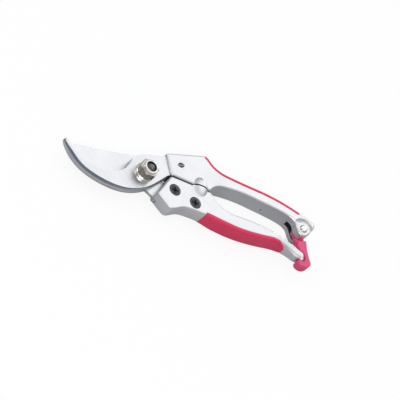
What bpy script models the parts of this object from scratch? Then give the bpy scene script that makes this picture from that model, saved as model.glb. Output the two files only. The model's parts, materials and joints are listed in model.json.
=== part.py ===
"""Bypass pruning shears, closed and locked, lying on their back with the pivot nut up.

Lengths are in millimetres until the mesh is made. The design frame has its origin on the
pivot axis, midway between the two blades: +X runs to the ends of the handles, +Y to the
upper handle and +Z to the nut. The empty "shears" then places everything on the ground.
"""

import math

import bmesh
import bpy
from mathutils import Matrix, Vector

MM = 0.001
GAP = 0.3

# Placing: the middle of the whole outline, and the lowest face
CENTRE_X = 39.0
CENTRE_Y = 5.85
GROUND_Z = -8.2

# Handles
FACE_Z = 8.2
BACK_Z = -8.2
BLOCK_BACK_Z = -5.6
HANDLE_EDGE = 1.2
PARTING_Y = 5.9
PARTING_GAP = 1.2
GRIP_THICK = 2.6
GRIP_EDGE = 0.9
ACROSS_Y = (-40, 60)
BLOCK_RELIEF = [(0, -20), (0, BLOCK_BACK_Z), (50, BLOCK_BACK_Z), (64, BACK_Z - 0.01), (64, -20)]
TAIL_RELIEF = [(110, 8.21), (134, 4.6), (150, 4.4), (150, 20), (110, 20)]

# Blades
HOOK_Z = (0.15, 6.15)
BLADE_Z = (-2.95, -0.15)
HOLE_R = 4.3
SLOT_END = ((9.0, -20.0), (14.6, -13.0))

# Pivot: M8 bolt, 16 mm washers, 13 mm locking nut
BOLT_R = 4.0
BOLT_END_Z = 16.3
BOLT_HEAD_R = 7.6
BOLT_HEAD_Z = (-8.2, -4.7)
HEX_KEY_R = 2.9
WASHER_R = 7.5
WASHER_HOLE_R = 4.35
WASHER_Z = (6.4, 8.0)
HEAD_WASHER_Z = (-4.5, -3.2)
NUT_ACROSS_FLATS = 13.0
NUT_Z = (8.2, 14.3)
NUT_COLLAR_R = 5.6
NUT_COLLAR_Z = 16.0
NUT_TURN = math.radians(8)

# Screws: M5, countersunk, cross recess
SCREW_R = 2.5
SCREW_HEAD_R = 4.6
SCREW_HEAD_DEPTH = 2.7
BLADE_SCREWS = {"blade_screw_front": (25.0, -5.4), "blade_screw_rear": (42.6, -9.2)}
HOOK_SCREWS = {"hook_screw_front": (25.5, 15.6), "hook_screw_rear": (34.5, 20.0)}

# Return spring and its chamber
SPRING_AT = (46.0, 5.9, 1.7)
DOME_AT = (46.0, 5.9, 5.2)
DOME_RADII = (7.4, 10.0, 5.0)
DOME_REACH = 20
CHAMBER_R = 6.5
CHAMBER_HALF = 5.6
SPRING_MEAN_R = 5.3
SPRING_WIRE_R = 0.65
SPRING_TURNS = 5
SPRING_PITCH = 1.8

# Catch, turning on a pin in the fork at the end of the upper handle
PIN = (133.8, 6.8)
PIN_R = 2.9
PIN_HEAD_Z = 9.4
PIN_HOLE_R = 3.2
BOSS_R = 5.6
POCKET_R = 8.6
POCKET_DEPTH = 2.2
POCKET_ZONE = [(133, 8), (142, 4), (139, 16), (127, 16)]
FORK_HALF = 2.2
FORK_FRONT_X = 122.9
FORK_TOP_Y = 15.2
FORK_ROOT = (128.0, 17.8)
CATCH_HALF = 4.0
CATCH_NECK_HALF = 1.9
CATCH_EYE_HALF = 0.95
CATCH_EYE_R = 5.2
CATCH_STEM = [(128.9, 3.6), (132.9, -3), (139.5, -3), (139.2, 2.6)]
CATCH_NECK = [(130.6, 1.4), (133, -3.2), (139.4, -3.2), (139.3, 1.4)]
CATCH_EDGE = 0.5
CATCH_WASHERS = {"catch_washer_front": (1.25, 1.9), "catch_washer_back": (-1.9, -1.25)}

# Outlines: (x, y) lies on a smooth run, (x, y, cut) is a corner rounded off over cut
HOOK = [
    (38, 27.9, 2), (14, 20.3), (3.1, 16.8), (-1.1, 15.4), (-5.2, 13.4), (-8.6, 10.6), (-10.6, 7.8),
    (-11.7, 5), (-13.7, 0.4), (-17.2, -4.1), (-21.8, -7.5), (-29, -10.5), (-37.6, -11.7), (-47.8, -10.5),
    (-56.7, -6.4), (-62.4, -1), (-65, 1.8), (-66.7, 2.1), (-67, 0.7), (-63, -5), (-56.6, -11.6),
    (-49.3, -16.2), (-40, -19.2), (-30.5, -20.7), (-20.5, -20.8), (-10.5, -18.9), (-1.5, -15), (6, -9.8),
    (12.5, -3.4), (18.2, 2.9), (21.9, 6.9), (25, 9.2), (38, 13.9, 2),
]
BLADE = [
    (46.3, -5.9, 1.5), (17.3, 4.2), (12.6, 9), (7.5, 13.3), (1.5, 15.8), (-5, 15.8), (-18.4, 12.4),
    (-35.2, 8.7), (-57.4, 4.4), (-61.6, 3.4, 0.5), (-57.3, -4.4), (-51, -10), (-42.5, -14), (-33, -15.6),
    (-23.5, -14.7), (-14.5, -12.1), (-7, -10.2), (0.5, -9.3), (6.3, -9.5), (11.6, -12.1, 0.6),
    (12.7, -14.9, 0.4), (15.2, -14.9, 0.4), (17.5, -12.5, 1), (44.6, -13.7, 1.5),
]
UPPER_HANDLE = [
    (15.8, 22.9, 1.3), (21.4, 6.5, 1.3), (54.3, 6.5), (56.2, 8.9), (59, 11.5), (63.2, 13.5), (70.3, 14.7),
    (78.8, 15.5), (87.4, 15.6), (96, 15.1), (104.7, 14.6), (113.3, 13.9), (121.5, 12.6), (126.2, 10),
    (128.3, 5.4), (130.9, 1.8), (134.6, 1), (137.6, 2.5), (140.4, 6.8), (142.4, 11.6), (141.9, 14.6),
    (138.6, 16.7), (130.4, 19.1), (122.1, 21.1), (113.4, 22.7), (104.7, 23.7), (97, 24.2), (83.2, 24.5),
    (73.8, 24.9), (68.3, 25.2), (63.3, 25.8), (58.8, 27.1), (54.5, 29.6), (50.6, 33), (48, 33.9), (44.5, 32.8),
]
LOWER_HANDLE = [
    (21.3, 5.3, 1.3), (11.2, -13, 1.3), (23.4, -22.7, 1.8), (27.4, -20.6), (31.2, -18.2), (35, -16.6),
    (39, -15.9), (47.7, -15.4), (57, -15.7), (68.3, -16.5), (76, -16.9), (83.6, -16.8), (91, -16.2),
    (98.8, -15.1), (105, -14), (111, -12.9), (117, -12.4), (123, -12.9), (128, -14.1), (133, -15.7), (136, -15.9),
    (138, -16.3), (139.2, -15.1), (138.8, -12.7), (136.9, -10.5), (133.5, -9), (128.5, -7.4), (120.3, -6.2),
    (111.4, -5.4), (102.8, -4.6), (95.9, -4.2), (88, -4.3), (81.4, -4.7), (74.6, -4.9), (68.5, -4), (64, -2.3),
    (60.6, 0), (57.8, 3.1), (54.4, 5.3, 0.8),
]
CATCH = [
    (132.5, -1, 1), (133, -5), (134.8, -7.9), (137.6, -9.6), (139.5, -12), (139.8, -14.8), (138.9, -16.8),
    (134.1, -17, 1), (134.3, -19.3), (136.4, -21.1), (139.9, -21.5), (143.3, -19.8), (145, -16.9),
    (142.9, -11.6), (140.9, -5.4), (140.2, -1), (139.7, 1.2, 1),
]
UPPER_GRIP_SPAN = (47.4, 130.4)
LOWER_GRIP_SPAN = (52.2, 121.4)


def unit(vector):
    return vector / vector.length


def outline(points, spacing=2.6):
    """A closed outline through points, smooth except at the rounded corners."""
    places = [Vector(point[:2]) for point in points]
    cuts = [point[2] if len(point) == 3 else 0.0 for point in points]
    count = len(points)
    result = []
    for index in range(count):
        following = (index + 1) % count
        start, end = places[index], places[following]
        chord = unit(end - start)
        leave = chord if cuts[index] else unit(end - places[index - 1])
        arrive = chord if cuts[following] else unit(places[(index + 2) % count] - start)
        if cuts[index]:
            before = start - unit(start - places[index - 1]) * cuts[index]
            after = start + chord * cuts[index]
            middle = (before + 2 * start + after) / 4
            result += [before, middle]
            start = after
        end = end - chord * cuts[following]
        reach = (end - start).length
        straight = leave.dot(chord) > 0.9999 and arrive.dot(chord) > 0.9999
        steps = 1 if straight else max(1, round(reach / spacing))
        for step in range(steps):
            t = step / steps
            h1 = 2 * t**3 - 3 * t**2 + 1
            h2 = t**3 - 2 * t**2 + t
            h3 = 3 * t**2 - 2 * t**3
            h4 = t**3 - t**2
            result.append(h1 * start + h2 * reach * leave + h3 * end + h4 * reach * arrive)
        if cuts[following]:
            result.append(end)
    tidy = []
    for place in result:
        if not tidy or (place - tidy[-1]).length > 0.05:
            tidy.append(place)
    if (tidy[0] - tidy[-1]).length < 0.05:
        tidy.pop()
    return tidy


def grown(points, amount):
    """The closed outline moved outwards by amount along its corner directions."""
    area = sum(a.cross(b) for a, b in zip(points, points[1:] + points[:1]))
    side = 1 if area > 0 else -1
    result = []
    for index, place in enumerate(points):
        before = unit(place - points[index - 1])
        after = unit(points[(index + 1) % len(points)] - place)
        normal = Vector((before.y + after.y, -before.x - after.x)) * side
        normal = unit(normal)
        edge_normal = Vector((after.y, -after.x)) * side
        result.append(place + normal * amount / max(normal.dot(edge_normal), 0.5))
    return result


def material(name, colour, roughness, metallic):
    made = bpy.data.materials.new(name)
    made.use_nodes = True
    shader = made.node_tree.nodes["Principled BSDF"]
    shader.inputs["Base Color"].default_value = (*colour, 1.0)
    shader.inputs["Roughness"].default_value = roughness
    shader.inputs["Metallic"].default_value = metallic
    return made


def keep(item, name, look, at, parent):
    """Names an object, and gives it its material, its origin and its parent."""
    item.name = name
    item.data.name = name
    item.data.materials.clear()
    item.data.materials.append(look)
    item.data.shade_smooth()
    item.data.set_sharp_from_angle(angle=math.radians(35))
    for place in list(item.users_collection):
        place.objects.unlink(item)
    PARTS.objects.link(item)
    origin = Vector(at) * MM
    item.data.transform(Matrix.Translation(-origin))
    item.location = origin - Vector(parent["at"]) * MM
    item.parent = parent


def empty(name, at, parent=None):
    """An empty on a joint's axis, at a place in the design frame."""
    made = bpy.data.objects.new(name, None)
    made.empty_display_size = 0.01
    bpy.context.scene.collection.objects.link(made)
    parent_at = parent["at"] if parent else (0, 0, 0)
    made["at"] = at
    made.location = (Vector(at) - Vector(parent_at)) * MM
    made.parent = parent
    return made


def as_mesh(item):
    """Turns a curve object into a mesh object with its caps welded on."""
    bpy.context.scene.collection.objects.link(item)
    graph = bpy.context.evaluated_depsgraph_get()
    data = bpy.data.meshes.new_from_object(item.evaluated_get(graph))
    made = bpy.data.objects.new(item.name, data)
    made.matrix_world = item.matrix_world.copy()
    bpy.context.scene.collection.objects.link(made)
    bpy.data.objects.remove(item)
    shape = bmesh.new()
    shape.from_mesh(data)
    bmesh.ops.remove_doubles(shape, verts=shape.verts, dist=1e-6)
    bmesh.ops.dissolve_limit(shape, angle_limit=1e-4, verts=shape.verts, edges=shape.edges)
    bmesh.ops.triangulate(shape, faces=[face for face in shape.faces if len(face.verts) > 4])
    bmesh.ops.recalc_face_normals(shape, faces=shape.faces)
    shape.to_mesh(data)
    shape.free()
    return made


def plate(points, low, high, edge=0.0, steps=0):
    """A flat plate with a given outline between two heights, its edges eased by edge."""
    data = bpy.data.curves.new("plate", "CURVE")
    data.dimensions = "2D"
    data.fill_mode = "BOTH"
    data.extrude = ((high - low) / 2 - edge) * MM
    data.bevel_depth = edge * MM
    data.bevel_resolution = steps
    spline = data.splines.new("POLY")
    inner = grown(points, -edge) if edge else points
    spline.points.add(len(inner) - 1)
    for target, place in zip(spline.points, inner):
        target.co = (place.x * MM, place.y * MM, 0, 1)
    spline.use_cyclic_u = True
    made = as_mesh(bpy.data.objects.new("plate", data))
    made.data.transform(Matrix.Translation((0, 0, (high + low) / 2 * MM)))
    return made


def turned(profile, at, segments=32, axis="Z"):
    """A turned solid: (radius, height) points from the top of its axis to the bottom."""
    data = bpy.data.meshes.new("turned")
    places = [(radius * MM, 0, height * MM) for radius, height in profile]
    edges = [(index, index + 1) for index in range(len(places) - 1)]
    data.from_pydata(places, edges, [])
    made = bpy.data.objects.new("turned", data)
    bpy.context.scene.collection.objects.link(made)
    screw = made.modifiers.new("turn", "SCREW")
    screw.steps = segments
    screw.render_steps = segments
    screw.use_merge_vertices = True
    screw.merge_threshold = 0.00001
    settle(made)
    if axis == "Y":
        made.data.transform(Matrix.Rotation(math.radians(90), 4, "X"))
    made.data.transform(Matrix.Translation(Vector(at) * MM))
    return made


def settle(item):
    """Applies an object's modifiers to its mesh."""
    graph = bpy.context.evaluated_depsgraph_get()
    data = bpy.data.meshes.new_from_object(item.evaluated_get(graph))
    item.modifiers.clear()
    item.data = data


def combine(item, other, operation):
    change = item.modifiers.new(operation.lower(), "BOOLEAN")
    change.operation = operation
    change.object = other
    settle(item)
    bpy.data.objects.remove(other)


def cut(item, other):
    combine(item, other, "DIFFERENCE")


def join(item, other):
    combine(item, other, "UNION")


def cylinder(radius, low, high, at, segments=32):
    profile = [(0, high), (radius, high), (radius, low), (0, low)]
    return turned(profile, (at[0], at[1], 0), segments)


def box(low, high):
    bpy.ops.mesh.primitive_cube_add(size=1)
    made = bpy.context.object
    low, high = Vector(low) * MM, Vector(high) * MM
    made.data.transform(Matrix.Diagonal((*(high - low), 1)))
    made.data.transform(Matrix.Translation((high + low) / 2))
    return made


def wedge(corners, low, high):
    """A prism seen from the side: corners in X and Z, from one Y to another."""
    flat = plate([Vector(corner) for corner in corners], -high, -low)
    flat.data.transform(Matrix.Rotation(math.radians(90), 4, "X"))
    return flat


def chamber(item, side):
    """The bulge and the spring's bore, on the handle on one side of the parting line."""
    bulge = dome()
    near, far = sorted((PARTING_Y + side * PARTING_GAP / 2, PARTING_Y + side * DOME_REACH))
    low = (DOME_AT[0] - DOME_REACH, near, -DOME_REACH)
    high = (DOME_AT[0] + DOME_REACH, far, DOME_REACH)
    combine(bulge, box(low, high), "INTERSECT")
    join(item, bulge)
    profile = [(0, CHAMBER_HALF), (CHAMBER_R, CHAMBER_HALF), (CHAMBER_R, -CHAMBER_HALF), (0, -CHAMBER_HALF)]
    cut(item, turned(profile, SPRING_AT, 32, "Y"))


def dome():
    """The lens-shaped bulge over the spring, longest across the parting line."""
    count = 12
    profile = [(0, 1)]
    for index in range(1, count):
        angle = math.pi * index / count
        profile.append((math.sin(angle), math.cos(angle)))
    profile.append((0, -1))
    item = turned(profile, (0, 0, 0), 32)
    item.data.transform(Matrix.Translation(Vector(DOME_AT) * MM) @ Matrix.Diagonal((*DOME_RADII, 1)))
    return item


def band(points, span, side, thick, beyond=0.0):
    """A strip along an outline's outer side between two X, from a depth inside to some way beyond."""
    limit = 17.5 if side > 0 else 11
    outer = [place for place in points if span[0] < place.x < span[1] and place.y * side > limit]
    outer.sort(key=lambda place: place.x)
    inner = []
    outside = []
    for index, place in enumerate(outer):
        before = outer[max(index - 1, 0)]
        after = outer[min(index + 1, len(outer) - 1)]
        along = unit(after - before)
        normal = Vector((-along.y, along.x)) * side
        inner.append(place - normal * thick)
        outside.append(place + normal * beyond)
    return outside + inner[::-1]


def grip(name, points, span, side, parent, at):
    """A soft pad along the outer side of a handle, its edges rounded."""
    strip = band(points, span, side, GRIP_THICK - GAP)
    pad = plate(strip, BACK_Z + 0.1, FACE_Z - 0.1, GRIP_EDGE, 1)
    keep(pad, name, PINK_RUBBER, at, parent)


def grip_seat(item, points, span, side):
    """Cuts the seat of a grip, open to the outside, out of a handle."""
    wide = (span[0] - GAP, span[1] + GAP)
    cut(item, plate(band(points, wide, side, GRIP_THICK, 3), -12, 12))


def countersink(item, at, face, deep):
    """A clearance hole through a piece with a countersink on the face at height face."""
    side = 1 if face > 0 else -1
    rim = SCREW_HEAD_R + GAP
    shank = SCREW_R + GAP
    profile = [
        (0, face + side * 2), (rim, face + side * 2), (rim, face - side * 0.3),
        (shank, face - side * (0.3 + rim - shank)), (shank, deep), (0, deep),
    ]
    if side < 0:
        profile.reverse()
    cut(item, turned(profile, (*at, 0), 24))


def screw(name, at, face, end, look, parent):
    """A countersunk screw whose head lies just below the face, with a cross recess."""
    side = 1 if face > 0 else -1
    top = face - side * 0.15
    profile = [
        (0, top), (SCREW_HEAD_R, top), (SCREW_HEAD_R, top - side * 0.35),
        (SCREW_R, top - side * (0.35 + SCREW_HEAD_R - SCREW_R)), (SCREW_R, end + side * 0.5),
        (SCREW_R - 0.5, end), (0, end),
    ]
    if side < 0:
        profile.reverse()
    item = turned(profile, (*at, 0), 24)
    low, high = sorted((top - side * 1.6, top + side))
    for length, width in ((2.6, 0.55), (0.55, 2.6)):
        slot = box((at[0] - length, at[1] - width, low), (at[0] + length, at[1] + width, high))
        cut(item, slot)
    keep(item, name, look, (*at, face), parent)


def upper_handle(parent):
    points = outline(UPPER_HANDLE)
    item = plate(points, BACK_Z, FACE_Z, HANDLE_EDGE, 1)
    cut(item, wedge(BLOCK_RELIEF, *ACROSS_Y))
    chamber(item, 1)
    cut(item, plate(grown(outline(HOOK), GAP), HOOK_Z[0] - GAP, HOOK_Z[1] + GAP))
    for at in HOOK_SCREWS.values():
        countersink(item, at, BLOCK_BACK_Z, 2.0)
    grip_seat(item, points, UPPER_GRIP_SPAN, 1)
    fork(item)
    keep(item, "upper_handle", CAST, (0, 0, 0), parent)


def fork(item):
    """The slot for the catch, the pin's bore and the pocket around its boss."""
    cut(item, box((FORK_FRONT_X, -10, -FORK_HALF), (PIN[0] + 20, FORK_TOP_Y, FORK_HALF)))
    cut(item, box((FORK_FRONT_X, 0, -FORK_HALF), (*FORK_ROOT, FORK_HALF)))
    cut(item, cylinder(PIN_HOLE_R, -12, 12, PIN, 24))
    ring = [
        (BOSS_R, FACE_Z + 1), (POCKET_R, FACE_Z + 1), (POCKET_R, FACE_Z - POCKET_DEPTH),
        (BOSS_R, FACE_Z - POCKET_DEPTH), (BOSS_R, FACE_Z + 1),
    ]
    groove = turned(ring, (*PIN, 0))
    combine(groove, plate([Vector(place) for place in POCKET_ZONE], 0, 20), "INTERSECT")
    cut(item, groove)


def lower_handle(parent):
    points = outline(LOWER_HANDLE)
    item = plate(points, BACK_Z, FACE_Z, HANDLE_EDGE, 1)
    cut(item, wedge(BLOCK_RELIEF, *ACROSS_Y))
    for side in (1, -1):
        cut(item, wedge([(x, side * z) for x, z in TAIL_RELIEF], *ACROSS_Y))
    chamber(item, -1)
    cut(item, plate(grown(outline(BLADE), GAP), BLADE_Z[0] - GAP, BLADE_Z[1] + GAP))
    near, far = SLOT_END
    cut(item, box((*near, BLADE_Z[0] - GAP), (*far, BLADE_Z[1] + GAP)))
    for at in BLADE_SCREWS.values():
        countersink(item, at, FACE_Z, -7)
    grip_seat(item, points, LOWER_GRIP_SPAN, -1)
    keep(item, "lower_handle", CAST, (0, 0, 0), parent)


def hook_blade(parent):
    item = plate(outline(HOOK), *HOOK_Z, 0.9)
    cut(item, cylinder(HOLE_R, -10, 20, (0, 0), 40))
    for at in HOOK_SCREWS.values():
        cut(item, cylinder(SCREW_R + GAP, -10, 20, at, 24))
    keep(item, "hook_blade", STEEL, (0, 0, 0), parent)


def cutting_blade(parent):
    item = plate(outline(BLADE), *BLADE_Z)
    cut(item, cylinder(HOLE_R, -10, 20, (0, 0), 40))
    for at in BLADE_SCREWS.values():
        cut(item, cylinder(SCREW_R + GAP, -10, 20, at, 24))
    cut(item, bevel_cutter())
    keep(item, "cutting_blade", STEEL, (0, 0, 0), parent)


def bevel_cutter():
    """What the ground bevel takes off the back of the cutting edge."""
    edge = [Vector(point[:2]) for point in BLADE[9:17]]
    outer, inner = [], []
    for index, place in enumerate(edge):
        before = edge[max(index - 1, 0)]
        after = edge[min(index + 1, len(edge) - 1)]
        along = unit(after - before)
        normal = Vector((along.y, -along.x))
        outer.append(place - normal * 1.2 if normal.y > 0 else place + normal * 1.2)
        inner.append(place + normal * 4.5 if normal.y > 0 else place - normal * 4.5)
    shape = bmesh.new()
    rings = []
    for out, into in zip(outer, inner):
        section = [(out, -6), (into, -6), (into, BLADE_Z[0] - 0.01), (out, BLADE_Z[1] + 0.35)]
        rings.append([shape.verts.new((place.x * MM, place.y * MM, z * MM)) for place, z in section])
    for first, second in zip(rings, rings[1:]):
        for index in range(4):
            after = (index + 1) % 4
            shape.faces.new((first[index], first[after], second[after], second[index]))
    shape.faces.new(rings[0])
    shape.faces.new(rings[-1])
    bmesh.ops.recalc_face_normals(shape, faces=shape.faces)
    data = bpy.data.meshes.new("bevel_cutter")
    shape.to_mesh(data)
    shape.free()
    made = bpy.data.objects.new("bevel_cutter", data)
    bpy.context.scene.collection.objects.link(made)
    return made


def pivot(parent):
    head_low, head_high = BOLT_HEAD_Z
    profile = [
        (0, BOLT_END_Z), (BOLT_R - 0.7, BOLT_END_Z), (BOLT_R, BOLT_END_Z - 0.7), (BOLT_R, head_high),
        (BOLT_HEAD_R, head_high), (BOLT_HEAD_R, head_low + 1.6), (BOLT_HEAD_R - 1.6, head_low), (0, head_low),
    ]
    bolt = turned(profile, (0, 0, 0))
    cut(bolt, cylinder(HEX_KEY_R, head_low - 2, head_low + 2.6, (0, 0), 6))
    keep(bolt, "pivot_bolt", DARK_STEEL, (0, 0, 0), parent)
    for name, heights in (("pivot_washer", WASHER_Z), ("head_washer", HEAD_WASHER_Z)):
        item = cylinder(WASHER_R, *heights, (0, 0), 40)
        cut(item, cylinder(WASHER_HOLE_R, -20, 20, (0, 0), 32))
        keep(item, name, NICKEL, (0, 0, heights[0]), parent)
    nut = pivot_nut()
    keep(nut, "pivot_nut", NICKEL, (0, 0, NUT_Z[0]), parent)
    insert = cylinder(NUT_COLLAR_R - 1.0, NUT_Z[1] + 0.1, NUT_COLLAR_Z - 0.5, (0, 0))
    cut(insert, cylinder(BOLT_R + 0.2, 0, 20, (0, 0)))
    keep(insert, "nut_insert", NYLON, (0, 0, NUT_Z[1]), parent)


def pivot_nut():
    """A hexagon with a cone-cut top, and a thin collar rolled over the nylon ring."""
    low, high = NUT_Z
    corner = NUT_ACROSS_FLATS / math.sqrt(3)
    item = cylinder(corner, low, high, (0, 0), 6)
    item.data.transform(Matrix.Rotation(NUT_TURN, 4, "Z"))
    flat = NUT_ACROSS_FLATS / 2
    cone = [(0, high), (flat, high), (corner + 0.1, high - 0.55), (corner + 0.1, low), (0, low)]
    combine(item, turned(cone, (0, 0, 0), 48), "INTERSECT")
    collar = [(0, NUT_COLLAR_Z), (NUT_COLLAR_R - 0.5, NUT_COLLAR_Z), (NUT_COLLAR_R, NUT_COLLAR_Z - 0.6)]
    join(item, turned([*collar, (NUT_COLLAR_R, low + 2), (0, low + 2)], (0, 0, 0)))
    cut(item, cylinder(BOLT_R + GAP, 0, 20, (0, 0)))
    cut(item, cylinder(NUT_COLLAR_R - 0.8, high, NUT_COLLAR_Z - 0.3, (0, 0)))
    return item


def spring(parent):
    """A closed-up coil, its axis across the parting line."""
    data = bpy.data.curves.new("spring", "CURVE")
    data.dimensions = "3D"
    data.bevel_depth = SPRING_WIRE_R * MM
    data.bevel_resolution = 2
    data.use_fill_caps = True
    per_turn = 14
    count = SPRING_TURNS * per_turn
    spline = data.splines.new("POLY")
    spline.points.add(count)
    for index, target in enumerate(spline.points):
        angle = 2 * math.pi * index / per_turn
        x = SPRING_AT[0] + SPRING_MEAN_R * math.cos(angle)
        y = SPRING_AT[1] + SPRING_PITCH * (index / per_turn - SPRING_TURNS / 2)
        z = SPRING_AT[2] + SPRING_MEAN_R * math.sin(angle)
        target.co = (x * MM, y * MM, z * MM, 1)
    item = as_mesh(bpy.data.objects.new("spring", data))
    keep(item, "return_spring", SPRING_STEEL, SPRING_AT, parent)


def catch(parent):
    item = plate(outline(CATCH, 1.8), -CATCH_HALF, CATCH_HALF, CATCH_EDGE, 1)
    eye = []
    for index in range(13):
        angle = math.radians(15 * index)
        eye.append(Vector(PIN) + CATCH_EYE_R * Vector((math.cos(angle), math.sin(angle))))
    stem = [Vector(place) for place in CATCH_STEM]
    join(item, plate(eye + stem, -CATCH_EYE_HALF, CATCH_EYE_HALF))
    neck = [Vector(place) for place in CATCH_NECK]
    join(item, plate(neck, -CATCH_NECK_HALF, CATCH_NECK_HALF))
    cut(item, cylinder(PIN_HOLE_R, -10, 10, PIN, 24))
    keep(item, "catch_lever", PINK_PLASTIC, (*PIN, 0), parent)


def catch_pin(parent):
    profile = [
        (0, PIN_HEAD_Z), (PIN_R - 0.5, PIN_HEAD_Z), (PIN_R, PIN_HEAD_Z - 0.5), (PIN_R, BACK_Z + 0.9),
        (PIN_R - 0.5, BACK_Z + 0.4), (0, BACK_Z + 0.4),
    ]
    keep(turned(profile, (*PIN, 0), 24), "catch_pin", NICKEL, (*PIN, 0), parent)
    for name, heights in CATCH_WASHERS.items():
        washer = cylinder(CATCH_EYE_R - 0.3, *heights, PIN, 24)
        cut(washer, cylinder(PIN_HOLE_R, -10, 10, PIN, 24))
        keep(washer, name, SPRING_STEEL, (*PIN, heights[0]), parent)


for old in list(bpy.data.objects):
    bpy.data.objects.remove(old)

PARTS = bpy.data.collections.new("pruning_shears")
bpy.context.scene.collection.children.link(PARTS)
CAST = material("cast_aluminium", (0.80, 0.81, 0.82), 0.38, 0.85)
STEEL = material("brushed_steel", (0.74, 0.76, 0.78), 0.30, 1.0)
DARK_STEEL = material("black_steel", (0.03, 0.03, 0.035), 0.35, 0.8)
NICKEL = material("nickel_plate", (0.78, 0.74, 0.66), 0.18, 1.0)
NYLON = material("nylon", (0.03, 0.03, 0.033), 0.5, 0.0)
SPRING_STEEL = material("spring_steel", (0.45, 0.46, 0.48), 0.3, 1.0)
PINK_RUBBER = material("pink_rubber", (0.70, 0.04, 0.12), 0.5, 0.0)
PINK_PLASTIC = material("pink_plastic", (0.72, 0.05, 0.17), 0.38, 0.0)

SHEARS = empty("shears", (CENTRE_X, CENTRE_Y, GROUND_Z))
SHEARS.location = (0, 0, 0)
FIXED_SIDE = empty("fixed_side", (0, 0, 0), SHEARS)
BLADE_SIDE = empty("blade_side", (0, 0, 0), SHEARS)
CATCH_SIDE = empty("catch_side", (*PIN, 0), SHEARS)

upper_handle(FIXED_SIDE)
hook_blade(FIXED_SIDE)
pivot(FIXED_SIDE)
spring(FIXED_SIDE)
grip("upper_grip", outline(UPPER_HANDLE), UPPER_GRIP_SPAN, 1, FIXED_SIDE, (90, 24, 0))
catch_pin(FIXED_SIDE)
lower_handle(BLADE_SIDE)
cutting_blade(BLADE_SIDE)
grip("lower_grip", outline(LOWER_HANDLE), LOWER_GRIP_SPAN, -1, BLADE_SIDE, (88, -15, 0))
catch(CATCH_SIDE)
for label, spot in BLADE_SCREWS.items():
    screw(label, spot, FACE_Z, -5.2, DARK_STEEL, BLADE_SIDE)
for label, spot in HOOK_SCREWS.items():
    screw(label, spot, BLOCK_BACK_Z, 5.6, DARK_STEEL, FIXED_SIDE)
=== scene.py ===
"""The looks of a pair of bypass pruning shears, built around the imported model.

Lengths are in millimetres, and the design frame has its origin on the pivot axis, midway
between the blades: +X runs to the ends of the handles, +Y to the upper handle and +Z to the
nut. place() turns a finished mesh into metres and puts it where the frame has the pivot.
"""

import json
import math

import bmesh
import bpy
import numpy as np
from mathutils import Matrix, Vector

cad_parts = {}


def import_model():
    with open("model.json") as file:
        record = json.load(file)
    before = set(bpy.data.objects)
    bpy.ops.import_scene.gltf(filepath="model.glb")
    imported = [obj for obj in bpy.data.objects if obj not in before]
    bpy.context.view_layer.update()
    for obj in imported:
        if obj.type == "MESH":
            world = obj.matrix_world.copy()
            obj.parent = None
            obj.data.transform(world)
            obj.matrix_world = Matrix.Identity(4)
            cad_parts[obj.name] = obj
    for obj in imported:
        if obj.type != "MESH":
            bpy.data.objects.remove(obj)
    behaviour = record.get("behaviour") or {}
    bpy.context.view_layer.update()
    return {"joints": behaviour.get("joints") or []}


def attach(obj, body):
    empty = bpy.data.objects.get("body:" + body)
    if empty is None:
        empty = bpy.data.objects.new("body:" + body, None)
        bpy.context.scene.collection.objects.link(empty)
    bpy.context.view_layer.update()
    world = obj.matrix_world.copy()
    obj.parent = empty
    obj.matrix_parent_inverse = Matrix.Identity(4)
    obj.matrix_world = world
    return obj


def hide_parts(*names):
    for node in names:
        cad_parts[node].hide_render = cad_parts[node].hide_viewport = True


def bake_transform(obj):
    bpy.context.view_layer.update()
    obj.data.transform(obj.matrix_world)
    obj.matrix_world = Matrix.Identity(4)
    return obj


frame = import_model()
JOINTS = {joint["name"]: joint for joint in frame["joints"]}
PIVOT = Vector(JOINTS["jaws_open"]["pos_m"])
CATCH_AXIS = Vector(JOINTS["catch_swing"]["pos_m"])
MM = 0.001

# Heights of the handles' faces, the blocks' shallower backs, the blades and the nut
FACE_Z = 8.2
BACK_Z = -8.2
BLOCK_BACK_Z = -5.6
HOOK_Z = (0.15, 6.15)
BLADE_Z = (-2.95, -0.15)
NUT_TOP = 14.3
COLLAR_TOP = 16.0
# The height that the hook thins towards at its tip
TIP_Z = 4.1

# The gap between the two blocks
PARTING_Y = 5.9
PARTING_GAP = 1.2

# The catch's pin, and its slot in the tail
PIN = tuple((CATCH_AXIS - PIVOT).xy / MM)
SLOT_X = 122.9
SLOT_TOP = 17.8
SLOT_HALF = 2.2

# The spring, its chamber and the dome over it
SPRING_AT = (46.0, 5.9, 1.7)
DOME_AT = (46.0, 5.9, 5.2)
DOME_RADII = (7.4, 10.0, 5.0)
CHAMBER_R = 6.5
CHAMBER_HALF = 5.6

# Holes, seats and marks
BORE_R = 4.3
PIN_BORE_R = 3.05
EYE_BORE_R = 3.1
SEAT_GAP = 0.25
HOOK_SCREWS = {"hook_screw_front": (25.5, 15.6), "hook_screw_rear": (34.5, 20.0)}
BLADE_SCREWS = {"blade_screw_front": (25.0, -5.4), "blade_screw_rear": (42.6, -9.2)}
EJECTOR_AT = (102.2, 0, -1.4)

# How far the edges of the handles are rounded
FACE_EDGE = 1.5
UPPER_BACK_EDGE = 3.4
LOWER_BACK_EDGE = 4.6

# The direction of the grinding lines on the blades, in degrees
GRIND_ANGLE = 38

# How finely the cast and moulded pieces are meshed
CAST_VOXEL = 0.27
SOFT_VOXEL = 0.25
CATCH_VOXEL = 0.24

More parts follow.
